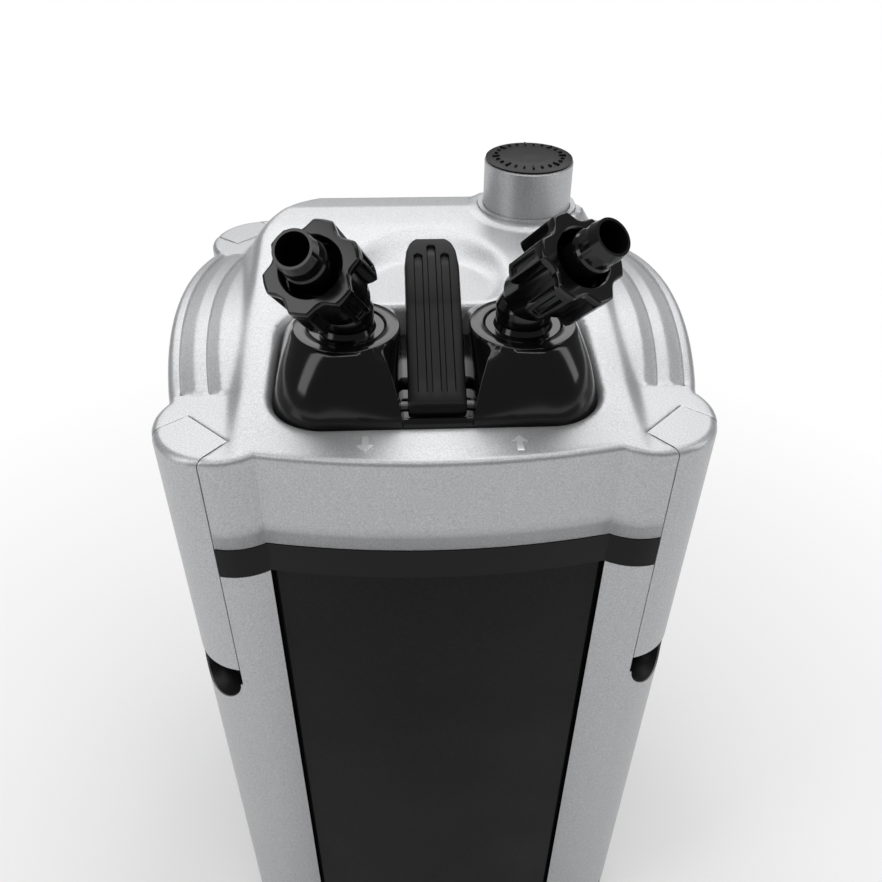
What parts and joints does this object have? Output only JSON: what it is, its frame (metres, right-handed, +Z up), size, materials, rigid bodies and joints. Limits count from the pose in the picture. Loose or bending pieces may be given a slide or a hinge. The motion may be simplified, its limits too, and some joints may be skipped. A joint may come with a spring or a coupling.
{
  "type": "canister filter",
  "caption": "Canister filter for aquariums and ponds: upright square canister with corner latches, a domed head, swivelling hose elbows, a locking lever and a priming knob.",
  "frame": {"origin": "on the floor, under the middle of the canister", "axes": "+Z up, -Y to the front with the lever and hose elbows, +X to the right seen from the front"},
  "size_m": [0.2198, 0.2206, 0.4085],
  "materials": {
    "silver_shell": "metallic silver, satin",
    "black_gloss": "moulded, gloss",
    "black_satin": "moulded, satin",
    "black_grain": "moulded, fine grain",
    "grey_plastic": "moulded",
    "white_plastic": "moulded",
    "rubber_black": "moulded",
    "seal_rubber": "moulded",
    "spring_steel": "drawn wire",
    "pin_steel": "ground",
    "screw_steel": "zinc plated",
    "iron_core": "laminated",
    "copper_wire": "enamelled copper",
    "magnet_black": "moulded ferrite",
    "ceramic_shaft": "polished ceramic",
    "ceramic_media": "porous ceramic",
    "foam_blue": "open foam",
    "floss_white": "fibre wool"
  },
  "bodies": {
    "canister": {"canister_vessel": "black_grain", "rim_band": "black_satin", "corner_pillar_front_right": "silver_shell", "corner_pillar_rear_right": "silver_shell", "corner_pillar_rear_left": "silver_shell", "corner_pillar_front_left": "silver_shell", "rubber_feet": "rubber_black", "media_basket_lower": "grey_plastic", "media_basket_middle": "grey_plastic", "media_basket_upper": "grey_plastic", "basket_lid": "grey_plastic", "ceramic_rings": "ceramic_media", "coarse_foam": "foam_blue", "fine_floss": "floss_white", "intake_pipe": "grey_plastic"},
    "head": {"head_cover": "silver_shell", "head_base": "grey_plastic", "head_gasket": "seal_rubber", "motor_housing": "black_satin", "stator_core": "iron_core", "stator_windings": "copper_wire", "impeller_shaft": "ceramic_shaft", "shaft_bushes": "seal_rubber", "impeller_cover": "grey_plastic", "head_screws": "screw_steel", "priming_collar": "silver_shell", "priming_cylinder": "grey_plastic", "priming_spring": "spring_steel", "priming_flap": "seal_rubber", "cord_gland": "rubber_black", "latch_pins": "pin_steel"},
    "rotor": {"rotor_magnet": "magnet_black", "impeller": "white_plastic"},
    "priming_knob": {"knob_sleeve": "silver_shell", "knob_cap": "black_satin", "priming_piston": "black_satin", "piston_seal": "seal_rubber"},
    "valve_block": {"valve_block": "black_gloss", "port_seals": "seal_rubber", "lever_pin": "pin_steel"},
    "lock_lever": {"lock_lever": "black_satin"},
    "valves": {"valve_barrel_out": "grey_plastic", "valve_barrel_in": "grey_plastic", "valve_shaft": "black_satin"},
    "outlet_connector": {"outlet_connector": "black_gloss", "outlet_connector_seal": "seal_rubber"},
    "inlet_connector": {"inlet_connector": "black_gloss", "inlet_connector_seal": "seal_rubber"},
    "outlet_lock_nut": {"outlet_lock_nut": "black_gloss"},
    "inlet_lock_nut": {"inlet_lock_nut": "black_gloss"},
    "latch_lever_front_right": {"latch_lever_front_right": "silver_shell"},
    "latch_hook_front_right": {"latch_hook_front_right": "black_satin"},
    "latch_lever_rear_right": {"latch_lever_rear_right": "silver_shell"},
    "latch_hook_rear_right": {"latch_hook_rear_right": "black_satin"},
    "latch_lever_rear_left": {"latch_lever_rear_left": "silver_shell"},
    "latch_hook_rear_left": {"latch_hook_rear_left": "black_satin"},
    "latch_lever_front_left": {"latch_lever_front_left": "silver_shell"},
    "latch_hook_front_left": {"latch_hook_front_left": "black_satin"}
  },
  "joints": [
    {"name": "head_lift", "type": "slide", "parent": "canister", "child": "head", "axis": [0, 0, 1], "range_m": [0, 0.12]},
    {"name": "rotor_spin", "type": "hinge", "parent": "head", "child": "rotor", "pos_m": [-0.022, 0.047, 0.28], "axis": [0, 0, 1], "continuous": true},
    {"name": "knob_press", "type": "slide", "parent": "head", "child": "priming_knob", "axis": [0, 0, 1], "range_m": [-0.02, 0], "stiffness_N_per_m": 400, "springref_m": 0.006, "deforming": ["priming_spring"]},
    {"name": "block_lift", "type": "slide", "parent": "head", "child": "valve_block", "axis": [0, 0, 1], "range_m": [0, 0.06]},
    {"name": "lever_lift", "type": "hinge", "parent": "valve_block", "child": "lock_lever", "pos_m": [0, -0.079, 0.3336], "axis": [1, 0, 0], "range_deg": [0, 75]},
    {"name": "valve_turn", "type": "hinge", "parent": "valve_block", "child": "valves", "pos_m": [0, -0.056, 0.329], "axis": [1, 0, 0], "range_deg": [0, 90]},
    {"name": "outlet_swivel", "type": "hinge", "parent": "valve_block", "child": "outlet_connector", "pos_m": [-0.0338, -0.056, 0.356], "axis": [0, 0, 1], "range_deg": [-150, 30]},
    {"name": "outlet_nut_spin", "type": "hinge", "parent": "outlet_connector", "child": "outlet_lock_nut", "pos_m": [-0.0338, -0.056, 0.366], "axis": [-0.2649, -0.6556, 0.7071], "continuous": true},
    {"name": "inlet_swivel", "type": "hinge", "parent": "valve_block", "child": "inlet_connector", "pos_m": [0.0338, -0.056, 0.356], "axis": [0, 0, 1], "range_deg": [-30, 150]},
    {"name": "inlet_nut_spin", "type": "hinge", "parent": "inlet_connector", "child": "inlet_lock_nut", "pos_m": [0.0338, -0.056, 0.366], "axis": [0.4545, -0.5417, 0.7071], "continuous": true},
    {"name": "latch_front_right_open", "type": "hinge", "parent": "head", "child": "latch_lever_front_right", "pos_m": [0.08839, -0.08839, 0.3268], "axis": [-0.7071, -0.7071, 0], "range_deg": [0, 90]},
    {"name": "hook_front_right_engage", "type": "hinge", "parent": "latch_lever_front_right", "child": "latch_hook_front_right", "pos_m": [0.09298, -0.09298, 0.308], "axis": [0.7071, 0.7071, 0], "range_deg": [0, 3.2]},
    {"name": "latch_rear_right_open", "type": "hinge", "parent": "head", "child": "latch_lever_rear_right", "pos_m": [0.08839, 0.08839, 0.3268], "axis": [0.7071, -0.7071, 0], "range_deg": [0, 90]},
    {"name": "hook_rear_right_engage", "type": "hinge", "parent": "latch_lever_rear_right", "child": "latch_hook_rear_right", "pos_m": [0.09298, 0.09298, 0.308], "axis": [-0.7071, 0.7071, 0], "range_deg": [0, 3.2]},
    {"name": "latch_rear_left_open", "type": "hinge", "parent": "head", "child": "latch_lever_rear_left", "pos_m": [-0.08839, 0.08839, 0.3268], "axis": [0.7071, 0.7071, 0], "range_deg": [0, 90]},
    {"name": "hook_rear_left_engage", "type": "hinge", "parent": "latch_lever_rear_left", "child": "latch_hook_rear_left", "pos_m": [-0.09298, 0.09298, 0.308], "axis": [-0.7071, -0.7071, 0], "range_deg": [0, 3.2]},
    {"name": "latch_front_left_open", "type": "hinge", "parent": "head", "child": "latch_lever_front_left", "pos_m": [-0.08839, -0.08839, 0.3268], "axis": [-0.7071, 0.7071, 0], "range_deg": [0, 90]},
    {"name": "hook_front_left_engage", "type": "hinge", "parent": "latch_lever_front_left", "child": "latch_hook_front_left", "pos_m": [-0.09298, -0.09298, 0.308], "axis": [0.7071, -0.7071, 0], "range_deg": [0, 3.2]}
  ],
  "couplings": [
    {"joint": "valve_turn", "follows": "lever_lift", "ratio": 1.2}
  ]
}
